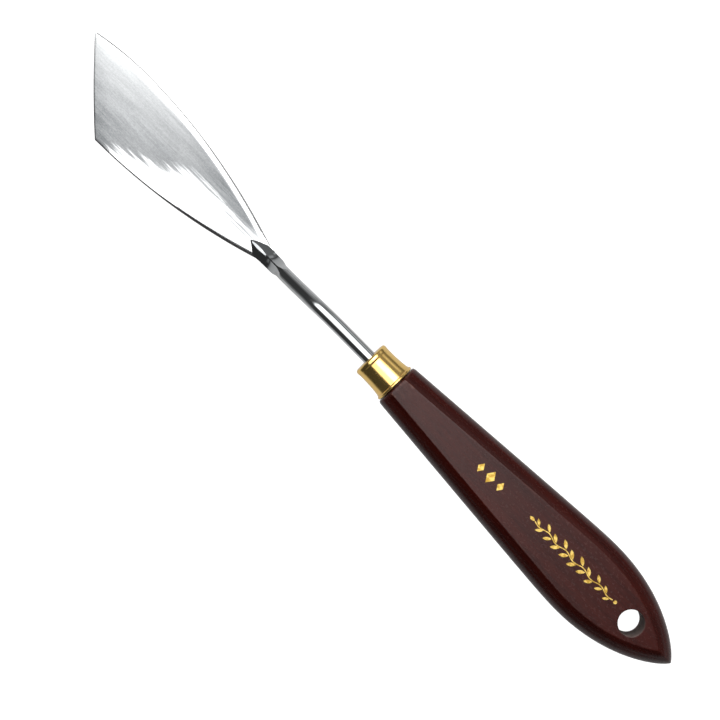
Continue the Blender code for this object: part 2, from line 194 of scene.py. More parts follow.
def curve_through(points, steps):
    """Catmull-Rom curve through 2-D points, steps spans between neighbours."""
    p = [Vector(q) for q in points]
    p = [p[0] * 2 - p[1]] + p + [p[-1] * 2 - p[-2]]
    made = []
    for i in range(1, len(p) - 2):
        for k in range(steps):
            t = k / steps
            a, b, c, d = p[i - 1], p[i], p[i + 1], p[i + 2]
            made.append(
                0.5
                * (
                    2 * b
                    + (c - a) * t
                    + (2 * a - 5 * b + 4 * c - d) * t * t
                    + (3 * b - a - 3 * c + d) * t**3
                )
            )
    made.append(p[-2])
    return [tuple(q) for q in made]


# ------------------------------------------------------------------ node helpers
class Nodes:
    """Short names for building one material's nodes."""

    def __init__(self, name):
        self.material = bpy.data.materials.new(name)
        self.material.use_nodes = True
        self.tree = self.material.node_tree
        self.shader = self.tree.nodes["Principled BSDF"]

    def add(self, kind, **settings):
        node = self.tree.nodes.new(kind)
        for key, value in settings.items():
            setattr(node, key, value)
        return node

    def link(self, a, b):
        self.tree.links.new(a, b)

    def coords(self, scale=(1, 1, 1), move=(0, 0, 0)):
        where = self.add("ShaderNodeTexCoord")
        mapping = self.add("ShaderNodeMapping")
        mapping.inputs["Scale"].default_value = scale
        mapping.inputs["Location"].default_value = move
        self.link(where.outputs["Object"], mapping.inputs["Vector"])
        return mapping.outputs["Vector"]

    def noise(self, scale, stretch=(1, 1, 1), detail=4.0, rough=0.55, move=(0, 0, 0), distort=0.0):
        node = self.add("ShaderNodeTexNoise")
        node.inputs["Scale"].default_value = scale
        node.inputs["Detail"].default_value = detail
        node.inputs["Roughness"].default_value = rough
        node.inputs["Distortion"].default_value = distort
        self.link(self.coords(stretch, move), node.inputs["Vector"])
        return node.outputs["Fac"]

    def voronoi(self, scale, stretch=(1, 1, 1), feature="F1", move=(0, 0, 0)):
        node = self.add("ShaderNodeTexVoronoi", feature=feature)
        node.inputs["Scale"].default_value = scale
        self.link(self.coords(stretch, move), node.inputs["Vector"])
        return node

    def math(self, operation, a, b=None, c=None, clamp=False):
        node = self.add("ShaderNodeMath", operation=operation, use_clamp=clamp)
        for slot, value in enumerate((a, b, c)):
            if value is None:
                continue
            if isinstance(value, (int, float)):
                node.inputs[slot].default_value = value
            else:
                self.link(value, node.inputs[slot])
        return node.outputs["Value"]

    def range(self, value, low, high, to_low=0.0, to_high=1.0, smooth=True):
        node = self.add("ShaderNodeMapRange", clamp=True)
        node.interpolation_type = "SMOOTHSTEP" if smooth else "LINEAR"
        for slot, number in (("From Min", low), ("From Max", high), ("To Min", to_low), ("To Max", to_high)):
            node.inputs[slot].default_value = number
        self.link(value, node.inputs["Value"])
        return node.outputs["Result"]

    def mix(self, factor, a, b):
        node = self.add("ShaderNodeMix", data_type="RGBA")
        for slot, value in ((0, factor), (6, a), (7, b)):
            if isinstance(value, (int, float)):
                node.inputs[slot].default_value = value
            elif isinstance(value, tuple):
                node.inputs[slot].default_value = (*value, 1.0)
            else:
                self.link(value, node.inputs[slot])
        return node.outputs[2]

    def xyz(self):
        split = self.add("ShaderNodeSeparateXYZ")
        self.link(self.coords(), split.inputs["Vector"])
        return split.outputs

    def bump(self, height, strength, distance, before=None):
        node = self.add("ShaderNodeBump")
        node.inputs["Strength"].default_value = strength
        node.inputs["Distance"].default_value = distance
        self.link(height, node.inputs["Height"])
        if before is not None:
            self.link(before, node.inputs["Normal"])
        return node.outputs["Normal"]

    def attribute(self, name):
        node = self.add("ShaderNodeAttribute", attribute_name=name)
        return node.outputs["Fac"]

    def set(self, **sockets):
        for name, value in sockets.items():
            socket = self.shader.inputs[name.replace("_", " ")]
            if isinstance(value, tuple):
                socket.default_value = (*value, 1.0)
            elif isinstance(value, (int, float)):
                socket.default_value = value
            else:
                self.link(value, socket)


# ------------------------------------------------------------------ materials
def stained_wood():
    n = Nodes("stained_wood")
    # growth rings cut lengthwise: long soft bands, then fine fibres, then short dark pores
    bands = n.noise(260.0, (0.045, 1.0, 1.0), detail=3, rough=0.5, distort=0.6)
    fibres = n.noise(2600.0, (0.02, 1.0, 1.0), detail=5, rough=0.65, move=(0.3, 0.1, 0.7))
    pores = n.noise(5200.0, (0.055, 1.0, 1.0), detail=2, rough=0.5, move=(0.9, 0.4, 0.2))
    blotch = n.noise(55.0, (0.6, 1.0, 1.0), detail=3, rough=0.6, move=(0.15, 0.5, 0.33))
    pore = n.range(pores, 0.62, 0.72)
    tone = n.math("ADD", n.math("MULTIPLY", bands, 0.5), n.math("MULTIPLY", fibres, 0.5))
    tone = n.range(tone, 0.36, 0.64)
    tone = n.math("ADD", tone, n.math("MULTIPLY", n.math("SUBTRACT", blotch, 0.5), 0.9), clamp=True)
    colour = n.mix(tone, (0.0235, 0.0014, 0.0004), (0.0430, 0.0032, 0.0010))
    colour = n.mix(n.math("MULTIPLY", pore, 0.55), colour, (0.0095, 0.0006, 0.0002))
    # stain worn thin on the edges, mostly near the ferrule; the lighter colour there is also a painted highlight along
    # the creases and the front edge
    wear = n.attribute("wear")
    ragged = n.range(n.noise(900.0, (0.6, 1, 1), detail=4), 0.42, 0.66)
    worn_edge_and_highlight = n.math("MULTIPLY", wear, ragged, clamp=True)
    colour = n.mix(n.math("MULTIPLY", worn_edge_and_highlight, 0.85), colour, (0.170, 0.072, 0.052))
    # a little dust caught in the lacquer
    specks = n.voronoi(620.0, feature="F1")
    dot = n.range(specks.outputs["Distance"], 0.10, 0.05)
    pick = n.range(specks.outputs["Color"], 0.80, 0.86)
    speck = n.math("MULTIPLY", dot, pick, clamp=True)
    colour = n.mix(n.math("MULTIPLY", speck, 0.11), colour, (0.10, 0.07, 0.06))
    rough = n.range(n.noise(1300.0, (0.7, 1, 1), detail=3), 0.3, 0.7, 0.225, 0.285)
    peel = n.noise(2100.0, (0.8, 1.0, 1.0), detail=2, rough=0.5, move=(0.5, 0.5, 0.1))
    bare = n.attribute("bore")
    rough = n.math("ADD", rough, n.math("MULTIPLY", bare, 0.55))
    colour = n.mix(n.math("MULTIPLY", bare, 0.9), colour, (0.125, 0.092, 0.082))
    n.set(Base_Color=colour, Roughness=rough, IOR=1.45, Specular_IOR_Level=0.31)
    normal = n.bump(n.math("SUBTRACT", peel, n.math("MULTIPLY", pore, 0.6)), 0.30, 0.000014)
    normal = n.bump(fibres, 0.12, 0.00002, normal)
    normal = n.bump(speck, 0.3, 0.00002, normal)
    n.link(normal, n.shader.inputs["Normal"])
    return n.material


def polished_brass():
    n = Nodes("polished_brass")
    lines = n.noise(9000.0, (1.0, 0.03, 0.03), detail=3, rough=0.6)
    stain = n.noise(420.0, detail=5, rough=0.65, move=(0.2, 0.8, 0.4))
    tarnish = n.range(stain, 0.52, 0.74)
    edge = n.attribute("wear")
    colour = n.mix(n.math("MULTIPLY", tarnish, 0.35), (0.93, 0.625, 0.205), (0.74, 0.43, 0.110))
    colour = n.mix(n.math("MULTIPLY", edge, 0.25), colour, (0.60, 0.34, 0.12))
    rough = n.range(n.math("ADD", n.math("MULTIPLY", lines, 0.5), n.math("MULTIPLY", stain, 0.5)), 0.3, 0.7, 0.13, 0.23)
    n.set(Base_Color=colour, Metallic=1.0, Roughness=rough, IOR=1.5)
    dents = n.noise(150.0, (1.0, 1.0, 1.0), detail=1, rough=0.3, move=(0.7, 0.35, 0.9))
    normal = n.bump(dents, 0.55, 0.00022)
    normal = n.bump(lines, 0.10, 0.000012, normal)
    n.link(normal, n.shader.inputs["Normal"])
    return n.material


def polished_steel():
    n = Nodes("polished_steel")
    draw = n.noise(5200.0, (0.02, 1.0, 1.0), detail=4, rough=0.6)
    cloud = n.noise(260.0, (0.35, 1.0, 1.0), detail=3, move=(0.4, 0.2, 0.8))
    dark = n.attribute("forged")
    colour = n.mix(cloud, (0.50, 0.515, 0.525), (0.60, 0.61, 0.615))
    colour = n.mix(n.math("MULTIPLY", dark, 0.60), colour, (0.28, 0.295, 0.305))
    rough = n.range(n.math("ADD", n.math("MULTIPLY", draw, 0.6), n.math("MULTIPLY", cloud, 0.4)), 0.3, 0.7, 0.07, 0.14)
    n.set(Base_Color=colour, Metallic=1.0, Roughness=rough, IOR=1.5)
    ripple = n.noise(330.0, (0.4, 1.0, 1.0), detail=1, move=(0.1, 0.6, 0.3))
    normal = n.bump(ripple, 0.25, 0.00008)
    normal = n.bump(draw, 0.16, 0.000012, normal)
    n.link(normal, n.shader.inputs["Normal"])
    return n.material


def brushed_blade_steel():
    n = Nodes("brushed_blade_steel")
    x, y, z = n.xyz()[0:3]
    # rough-ground area over the middle and front, and a finer area behind a slanting, ragged line; the ground area is a
    # real duller finish, and its dark colour is partly a painted reflection
    line = n.math("MULTIPLY_ADD", x, 0.57, -0.04258)
    dip = n.math("MULTIPLY", n.range(x, 0.058, 0.066), n.range(x, 0.069, 0.076, 1.0, 0.0))
    start = n.math("MULTIPLY_ADD", dip, -0.0010, 0.0012)
    limit = n.math("MAXIMUM", line, start)
    grey_side = n.math("SUBTRACT", limit, y)
    ragged = n.noise(1000.0, (0.035, 1.0, 1.0), detail=5, rough=0.72, move=(0.3, 0.2, 0.0))
    broad = n.noise(170.0, (0.18, 1.0, 1.0), detail=3, rough=0.6, move=(0.8, 0.1, 0.0))
    shift = n.math(
        "ADD",
        n.math("MULTIPLY", n.math("SUBTRACT", ragged, 0.5), 0.0150),
        n.math("MULTIPLY", n.math("SUBTRACT", broad, 0.5), 0.0045),
    )
    ground = n.range(n.math("ADD", grey_side, shift), -0.0013, 0.0036)
    on_top = n.range(z, 0.00008, 0.00020)
    ground = n.math("MULTIPLY", ground, n.range(on_top, 0.0, 1.0, 0.55, 1.0), clamp=True)
    ground = n.math("MULTIPLY", ground, n.attribute("face"), clamp=True)
    ground = n.math("MULTIPLY", ground, n.range(x, 0.0440, 0.0545, 0.45, 1.0), clamp=True)
    # brushing along the blade, in three sizes
    fine = n.noise(7000.0, (0.02, 1.0, 1.0), detail=4, rough=0.7)
    middle = n.noise(2600.0, (0.03, 1.0, 1.0), detail=5, rough=0.65, move=(0.5, 0.9, 0.0))
    wide = n.noise(420.0, (0.12, 1.0, 1.0), detail=3, rough=0.6, move=(0.2, 0.7, 0.0))
    grain = n.noise(3000.0, (0.6, 1.0, 1.0), detail=4, rough=0.8, move=(0.6, 0.1, 0.0))
    brush = n.math("ADD", n.math("MULTIPLY", fine, 0.15), n.math("MULTIPLY", middle, 0.3))
    brush = n.math("ADD", brush, n.math("MULTIPLY", grain, 0.55))
    # painted reflection: the ground area is darkest behind the middle and towards the short side, and a little darker
    # again near the working edge and towards the root
    ahead = n.range(x, (BLADE_ROOT + 8 - CENTRE_X) * MM, (BLADE_TIP_X - 6 - CENTRE_X) * MM, smooth=False)
    across = n.range(y, -0.013, 0.013, 1.0, 0.0, smooth=False)
    level = n.math("MULTIPLY_ADD", n.math("MULTIPLY", n.math("POWER", across, 2.4), n.math("MULTIPLY_ADD", ahead, 1.1, -0.2)), 1.05, 0.205)
    level = n.math("SUBTRACT", level, n.math("MULTIPLY", n.attribute("front"), 0.08))
    level = n.math("SUBTRACT", level, n.math("MULTIPLY", n.range(x, 0.086, 0.058), 0.10))
    level = n.math("ADD", level, n.math("MULTIPLY", n.math("SUBTRACT", wide, 0.5), 0.45))
    level = n.math("ADD", level, n.math("MULTIPLY", n.math("SUBTRACT", brush, 0.5), 1.15), clamp=True)
    ground_tone_and_painted_reflection = n.mix(level, (0.104, 0.109, 0.113), (0.44, 0.448, 0.452))
    bright = n.mix(brush, (0.60, 0.61, 0.615), (0.74, 0.745, 0.75))
    colour = n.mix(ground, bright, ground_tone_and_painted_reflection)
    rough = n.mix(ground, (0.17, 0.17, 0.17), (0.40, 0.40, 0.40))
    rough = n.math("ADD", rough, n.math("MULTIPLY", n.math("SUBTRACT", fine, 0.5), 0.12))
    n.set(Base_Color=colour, Metallic=1.0, Roughness=rough, IOR=1.5, Anisotropic=0.5)
    normal = n.bump(wide, 0.10, 0.00003)
    normal = n.bump(middle, 0.22, 0.000012, normal)
    normal = n.bump(fine, 0.25, 0.000006, normal)
    n.link(normal, n.shader.inputs["Normal"])
    tangent = n.add("ShaderNodeTangent", direction_type="RADIAL", axis="Z")
    n.link(tangent.outputs["Tangent"], n.shader.inputs["Tangent"])
    return n.material


def gold_foil():
    n = Nodes("gold_foil")
    worn = n.noise(3800.0, detail=4, rough=0.7)
    patch = n.noise(900.0, detail=3, rough=0.6, move=(0.3, 0.3, 0.8))
    thin = n.range(n.math("ADD", n.math("MULTIPLY", worn, 0.6), n.math("MULTIPLY", patch, 0.4)), 0.56, 0.70)
    colour = n.mix(n.range(patch, 0.38, 0.62), (0.44, 0.26, 0.036), (0.78, 0.56, 0.15))
    colour = n.mix(n.math("MULTIPLY", thin, 0.6), colour, (0.16, 0.06, 0.02))
    rough = n.range(worn, 0.3, 0.7, 0.30, 0.50)
    n.set(Base_Color=colour, Metallic=0.85, Roughness=rough, IOR=1.5)
    n.link(n.bump(worn, 0.3, 0.00001), n.shader.inputs["Normal"])
    return n.material


def cured_resin():
    n = Nodes("cured_resin")
    cloud = n.noise(700.0, detail=4)
    colour = n.mix(cloud, (0.60, 0.44, 0.18), (0.74, 0.60, 0.32))
    rough = n.range(n.noise(1500.0, detail=3), 0.3, 0.7, 0.25, 0.42)
    n.set(Base_Color=colour, Roughness=rough, IOR=1.5)
    n.link(n.bump(cloud, 0.15, 0.00003), n.shader.inputs["Normal"])
    return n.material


def pale_floor():
    """A pale table that glows where it is seen directly, as if lit from below, and to the knife's own reflections a
    dull one with a painted band of light along its middle.
    """
    n = Nodes("pale_floor")
    tooth = n.noise(900.0, detail=3)
    seen = n.add("ShaderNodeLightPath")
    direct = seen.outputs["Is Camera Ray"]
    away = n.math("ABSOLUTE", n.xyz()[1])
    # painted pool of light: in the knife's reflections the floor is bright near the knife and dark farther out
    painted_light_band = n.range(away, 0.10, 0.36, 1.0, 0.0)
    level = n.math("MULTIPLY_ADD", painted_light_band, 0.58, 0.08)
    level = n.math("ADD", n.math("MULTIPLY", direct, 0.45), n.math("MULTIPLY", n.math("SUBTRACT", 1.0, direct), level))
    level = n.math("MULTIPLY_ADD", tooth, 0.01, level)
    n.set(Base_Color=n.mix(level, (0.0, 0.0, 0.0), (1.0, 1.0, 1.0)), Roughness=0.9, Specular_IOR_Level=0.1)
    glow = n.add("ShaderNodeEmission")
    glow.inputs["Color"].default_value = (1, 1, 1, 1)
    out = n.xyz()
    far = n.math("SQRT", n.math("ADD", n.math("MULTIPLY", out[0], out[0]), n.math("MULTIPLY", out[1], out[1])))
    n.link(n.math("MULTIPLY", direct, n.range(far, 0.25, 0.9, 0.82, 1.2)), glow.inputs["Strength"])
    both = n.add("ShaderNodeAddShader")
    n.link(n.shader.outputs["BSDF"], both.inputs[0])
    n.link(glow.outputs["Emission"], both.inputs[1])
    open_below = n.add("ShaderNodeMixShader")
    clear = n.add("ShaderNodeBsdfTransparent")
    below = n.add("ShaderNodeNewGeometry")
    n.link(n.math("MULTIPLY", direct, below.outputs["Backfacing"]), open_below.inputs["Fac"])
    n.link(both.outputs["Shader"], open_below.inputs[1])
    n.link(clear.outputs["BSDF"], open_below.inputs[2])
    n.link(open_below.outputs["Shader"], n.tree.nodes["Material Output"].inputs["Surface"])
    return n.material


# ------------------------------------------------------------------ handle
def handle_half_width(s):
    if s < BELLY_FROM_TAIL:
        return (
            BELLY_HALF_WIDTH
            * (1 - ((BELLY_FROM_TAIL - s) / BELLY_FROM_TAIL) ** TAIL_POWER)
            ** TAIL_FULLNESS
        )
    run = s - BELLY_FROM_TAIL
    return BELLY_HALF_WIDTH - TAPER * (
        math.sqrt(run * run + TAPER_EASE**2) - TAPER_EASE
    )


def offset_point(s, inset):
    slope = (
        handle_half_width(max(s, 0.02) + 0.01) - handle_half_width(max(s, 0.02) - 0.01)
    ) / 0.02
    q = math.sqrt(1 + slope * slope)
    square_front = 1 - (s / HANDLE_LENGTH) ** 8
    return (
        -HANDLE_LENGTH + s + inset * slope / q * square_front,
        handle_half_width(s) - inset / q,
    )


def inset_start(inset):
    low, high = 0.0, BELLY_FROM_TAIL
    for _ in range(60):
        mid = (low + high) / 2
        if offset_point(mid, inset)[1] > 0:
            high = mid
        else:
            low = mid
    return high


def side_layers():
    """(inset, height, wear) down one side: eased crease, slightly full chamfer, rounded side."""
    a = CHAMFER_ANGLE
    radius = (HALF_T - CHAMFER * math.tan(a)) / (
        math.cos(a) - (1 - math.sin(a)) * math.tan(a)
    )
    ease = 0.30
    back = ease * math.tan(a / 2)
    upper = [(CHAMFER + back + 0.25, HALF_T, 0.0)]
    for k in range(5):
        angle = a * k / 4
        upper.append(
            (
                CHAMFER + back - ease * math.sin(angle),
                HALF_T - ease * (1 - math.cos(angle)),
                1.0,
            )
        )
    start = Vector(upper[-1][:2])
    end = Vector((radius * (1 - math.sin(a)), radius * math.cos(a)))
    out = Vector((-math.sin(a), math.cos(a)))
    for f in (0.06, 0.2, 0.4, 0.6, 0.8, 0.94):
        p = start.lerp(end, f) + out * 0.10 * 4 * f * (1 - f)
        upper.append((p.x, p.y, 0.0))
    for k in range(11):
        angle = a + (math.pi / 2 - a) * k / 10
        upper.append((radius * (1 - math.sin(angle)), radius * math.cos(angle), 0.0))
    upper[-1] = (0.0, 0.0, 0.0)
    return upper + [(i, -z, w) for i, z, w in reversed(upper[:-1])]


def build_handle(mat):
    layers = side_layers()
    tail = [0.5 * (1 - math.cos(math.pi * k / 60)) * 0.5 for k in range(31)]
    spread = tail + [tail[-1] + (1 - tail[-1]) * k / 60 for k in range(1, 60)]
    spread = [g for g in spread if g < 0.9895]
    front = 1.15  # length over which the front end is rounded
    rounds = []
    for k in range(1, 9):
        angle = math.pi / 2 * k / 8
        rounds.append((1 - front * (1 - math.sin(angle)) / HANDLE_LENGTH, 1 - 0.062 * (1 - math.cos(angle))))
    rows = [(g, 1.0) for g in spread] + [(1 - front / HANDLE_LENGTH, 1.0)] + rounds
    bm = bmesh.new()
    left, right = [], []
    for inset, z, _ in layers:
        start = inset_start(inset)
        a, b = [], []
        for g, k in rows:
            s = start + (HANDLE_LENGTH - start) * g
            x, y = offset_point(s, inset)
            if g == 0.0:
                tip = bm.verts.new((x, 0.0, z))
                a.append(tip)
                b.append(tip)
                continue
            a.append(bm.verts.new((x, y * k, z * k)))
            b.append(bm.verts.new((x, -y * k, z * k)))
        left.append(a)
        right.append(b)
    count = len(rows)
    for side in (left, right):
        for k in range(len(layers) - 1):
            for j in range(count - 1):
                c = [side[k][j], side[k][j + 1], side[k + 1][j + 1], side[k + 1][j]]
                bm.faces.new(list(dict.fromkeys(c)))
    for row in (0, len(layers) - 1):
        for j in range(count - 1):
            c = [left[row][j], left[row][j + 1], right[row][j + 1], right[row][j]]
            bm.faces.new(list(dict.fromkeys(c)))
    bm.faces.new([a[-1] for a in left] + [b[-1] for b in reversed(right)])
    piece = add_piece("handle_wood", finish_mesh(bm, "handle_wood"), mat, smooth=0)
    tenon = add_piece(
        "tenon_tool",
        turned(
            [(-6, 0), (-6, TENON_RADIUS), (TENON_LENGTH - 0.5, TENON_RADIUS), (TENON_LENGTH, TENON_RADIUS - 0.5), (TENON_LENGTH, 0)],
            "tenon_tool",
        ),
        mat,
        smooth=0,
    )
    boolean(piece, tenon, "UNION")
    bore = add_piece(
        "bore_tool",
        turned(
            [(-TANG_BORE_DEPTH - 1.6, 0), (-TANG_BORE_DEPTH, TANG_BORE_RADIUS), (TENON_LENGTH + 3, TANG_BORE_RADIUS), (TENON_LENGTH + 3, 0)],
            "bore_tool",
            segments=64,
        ),
        mat,
        smooth=0,
    )
    boolean(piece, bore, "DIFFERENCE")
    # hanging hole: straight drilling with a softly rounded rim at both faces
    ease = 0.28
    half = []
    for k in range(9):
        angle = math.pi / 2 * k / 8
        half.append((HALF_T - ease * (1 - math.sin(angle)), HANG_HOLE_RADIUS + ease * (1 - math.cos(angle))))
    upper = half + [(HALF_T + 1.5, HANG_HOLE_RADIUS + ease), (HALF_T + 1.5, 0)]
    profile = [(-z, r) for z, r in reversed(upper)] + upper
    hole = add_piece("hole_tool", turned(profile, "hole_tool", segments=96, axis="Z"), mat, smooth=0)
    hole.location.x = (-HANDLE_LENGTH + HANG_HOLE_FROM_TAIL) * MM
    boolean(piece, hole, "DIFFERENCE")
    mesh = piece.data
    mesh.shade_smooth()
    mesh.set_sharp_from_angle(angle=math.radians(34))
    # these values mark the worn crease and front edge, which also carry a painted highlight
    wear = mesh.attributes.new("wear", "FLOAT", "POINT")
    values = []
    for v in mesh.vertices:
        x, y, z = (c / MM for c in v.co)
        s = min(HANDLE_LENGTH, max(0.05, x + HANDLE_LENGTH))
        near = abs(handle_half_width(s) - abs(y) - CHAMFER)
        crease = math.exp(-((near / 0.30) ** 2)) if abs(abs(z) - HALF_T) < 0.12 and x > -110 else 0.0
        front_edge = smoothstep((x + 1.3) / 1.1) if x <= 0.05 else 0.0
        corner = smoothstep((x + 6.0) / 5.0) if x <= 0.05 else 0.0
        value = crease * (0.16 + 0.95 * corner) + 0.35 * front_edge * (1 if math.hypot(y, z) > TENON_RADIUS + 0.6 else 0)
        values.append(min(1.0, value))
    wear.data.foreach_set("value", np.array(values, np.float32))
    bore = mesh.attributes.new("bore", "FLOAT", "POINT")
    hole_x = -HANDLE_LENGTH + HANG_HOLE_FROM_TAIL
    bore.data.foreach_set(
        "value",
        np.array(
            [
                1.0
                if math.hypot(v.co.x / MM - hole_x, v.co.y / MM) < HANG_HOLE_RADIUS + 0.12
                or (v.co.x / MM > -TANG_BORE_DEPTH - 2 and math.hypot(v.co.y, v.co.z) / MM < TANG_BORE_RADIUS + 0.1)
                else 0.0
                for v in mesh.vertices
            ],
            np.float32,
        ),
    )
    weighted = piece.modifiers.new("WeightedNormal", "WEIGHTED_NORMAL")
    weighted.keep_sharp = True
    weighted.weight = 80
    put_on_handle_axis(piece)
    return piece


# ------------------------------------------------------------------ ferrule
def build_ferrule(mat):
    skirt = curve_through(
        [(1.25, 6.20), (2.2, 6.0), (4.0, 5.815), (6.0, 5.70), (8.0, 5.655), (9.15, 5.66)], 6
    )
    lip = []
    for k in range(9):  # rolled lip at the handle end
        angle = math.pi * k / 8
        lip.append((0.72 - 0.42 * math.cos(angle), 6.36 + 0.27 * math.sin(angle)))
    bead = []
    for k in range(7):  # low bead behind the front shoulder
        t = k / 6
        bead.append((9.35 + 0.5 * t, 5.665 + 0.085 * smoothstep(t)))
    nose = []
    for k in range(1, 11):  # rounded front shoulder
        angle = math.pi / 2 * k / 10
        nose.append((FERRULE_LENGTH - 0.75 + 0.75 * math.sin(angle), 5.0 + 0.755 * math.cos(angle)))
    hole = STEM_RADIUS + 0.12
    collar = []
    for k in range(6):  # edge turned in round the stem
        angle = math.pi / 2 * k / 5
        collar.append((FERRULE_LENGTH - 0.12 + 0.12 * math.cos(angle) - 0.0, hole + 0.12 - 0.12 * math.sin(angle)))
    inner = FERRULE_LENGTH - 0.45
    loop = (
        lip
        + skirt
        + bead
        + [(9.95, 5.757), (10.2, 5.757)]
        + nose
        + collar
        + [(inner, hole), (inner, 5.22), (2.6, 5.22), (1.0, 5.70), (0.36, 5.95), (0.30, 6.15)]
    )
    mesh = turned(loop, "ferrule_brass", segments=144)
    mesh.materials.append(mat)
    mesh.shade_smooth()
    mesh.set_sharp_from_angle(angle=math.radians(40))
    wear = mesh.attributes.new("wear", "FLOAT", "POINT")
    values = []
    for v in mesh.vertices:
        x = v.co.x / MM
        values.append(max(math.exp(-(((x - 1.35) / 0.35) ** 2)), 0.8 * math.exp(-(((x - 9.3) / 0.25) ** 2))))
    wear.data.foreach_set("value", np.array(values, np.float32))
    piece = bpy.data.objects.new("ferrule_brass", mesh)
    bpy.context.scene.collection.objects.link(piece)
    put_on_handle_axis(piece)
    return piece


# ------------------------------------------------------------------ stem
PAD_CAD = HEEL_THICKNESS + 0.3
PAD = HEEL_THICKNESS - 0.02  # the forged end sits on the blade


def fall_slope():
    high = AXIS_HEIGHT + BEND_X * math.tan(HANDLE_TILT)
    slope = 0.5
    for _ in range(20):
        low = PAD_CAD + NOSE_BREAK_HEIGHT - STEM_RADIUS * math.sqrt(1 + slope * slope)
        slope = (high - low) / (NOSE_BREAK - BEND_X)
    return slope


SLOPE = fall_slope()
FALL = math.atan(SLOPE)


def fall_z(x):
    return AXIS_HEIGHT + BEND_X * math.tan(HANDLE_TILT) - SLOPE * (x - BEND_X)


def side_shift(x):
    return SIDE_SET * smoothstep((x - 22.0) / 24.0)


def stem_path(step):
    a = Vector((-TANG_LENGTH, AXIS_HEIGHT - TANG_LENGTH * math.tan(HANDLE_TILT)))
    b = Vector((BEND_X, AXIS_HEIGHT + BEND_X * math.tan(HANDLE_TILT)))
    c = Vector((FORGE_START - 4.0, fall_z(FORGE_START - 4.0)))
    turn = HANDLE_TILT + FALL
    back = BEND_RADIUS * math.tan(turn / 2)
    start = b - (b - a).normalized() * back
    centre = start + Vector(((b - a).y, -(b - a).x)).normalized() * BEND_RADIUS
    made = []
    straight = max(1, int((start - a).length / step))
    for k in range(straight):
        p = a.lerp(start, k / straight)
        made.append((p.x, p.y, HANDLE_TILT))
    arc = 30
    for k in range(arc + 1):
        angle = HANDLE_TILT - turn * k / arc
        made.append((centre.x - BEND_RADIUS * math.sin(angle), centre.y + BEND_RADIUS * math.cos(angle), angle))
    last = Vector(made[-1][:2])
    down = max(1, int((c - last).length / 0.8))
    for k in range(1, down + 1):
        p = last.lerp(c, k / down)
        made.append((p.x, p.y, -FALL))
    for k in range(1, 11):
        x = c.x + 4.0 * k / 10
        made.append((x, fall_z(x), -FALL * (1 - k / 10)))
    return made


def roof_section(x, t):
    """(across, height above the underside) of the forged end: low sides, two flanks, and a narrow ridge."""
    lift = PAD_CAD - PAD
    turn = NOSE_BREAK + 0.6
    k = max(0.0, (x - turn) / (NOSE_TIP - turn))
    falling = NOSE_BREAK_HEIGHT + lift + SLOPE * (NOSE_BREAK - x)
    high = NOSE_BREAK_HEIGHT + lift - SLOPE * 0.6
    level = high + (NOSE_TIP_HEIGHT - 0.1 - high) * k**1.15
    top = 0.5 * (falling + level + math.sqrt((falling - level) ** 2 + 0.10))
    ridge = 0.20 + 0.24 * math.sin(math.pi * min(1.0, k)) - 0.08 * k + 1.0 * (1 - smoothstep((x - 45.8) / 4.2))
    wide = STEM_RADIUS + (NOSE_HALF_WIDTH - STEM_RADIUS) * (0.85 * smoothstep((x - FORGE_START) / 3.6) + 0.15 * smoothstep((x - 51.8) / 3.0))
    if x > NOSE_SHOULDER:
        taper = (x - NOSE_SHOULDER) / (NOSE_TIP - NOSE_SHOULDER)
        wide = NOSE_HALF_WIDTH + (0.20 - NOSE_HALF_WIDTH) * taper**1.2
    over = max(0.0, (x - NOSE_TIP + 0.35) / 0.35)
    top *= 1 - 0.45 * over * over
    base = max(0.0, fall_z(x) - STEM_RADIUS / math.cos(FALL) - PAD)
    side = min(0.95 - 0.40 * smoothstep((x - turn + 0.6) / 2.4), 0.6 * top)
    marks = (
        (0.0, (0.0, base)),
        (0.3, (wide, base)),
        (0.4, (wide, base + side)),
        (0.9, (min(ridge, 0.8 * wide), top)),
        (1.0, (0.0, top + 0.02)),
    )
    for (t0, p0), (t1, p1) in zip(marks, marks[1:]):
        if t <= t1 + 1e-9:
            k = (t - t0) / (t1 - t0)
            return p0[0] + (p1[0] - p0[0]) * k, p0[1] + (p1[1] - p0[1]) * k
    return marks[-1][1]


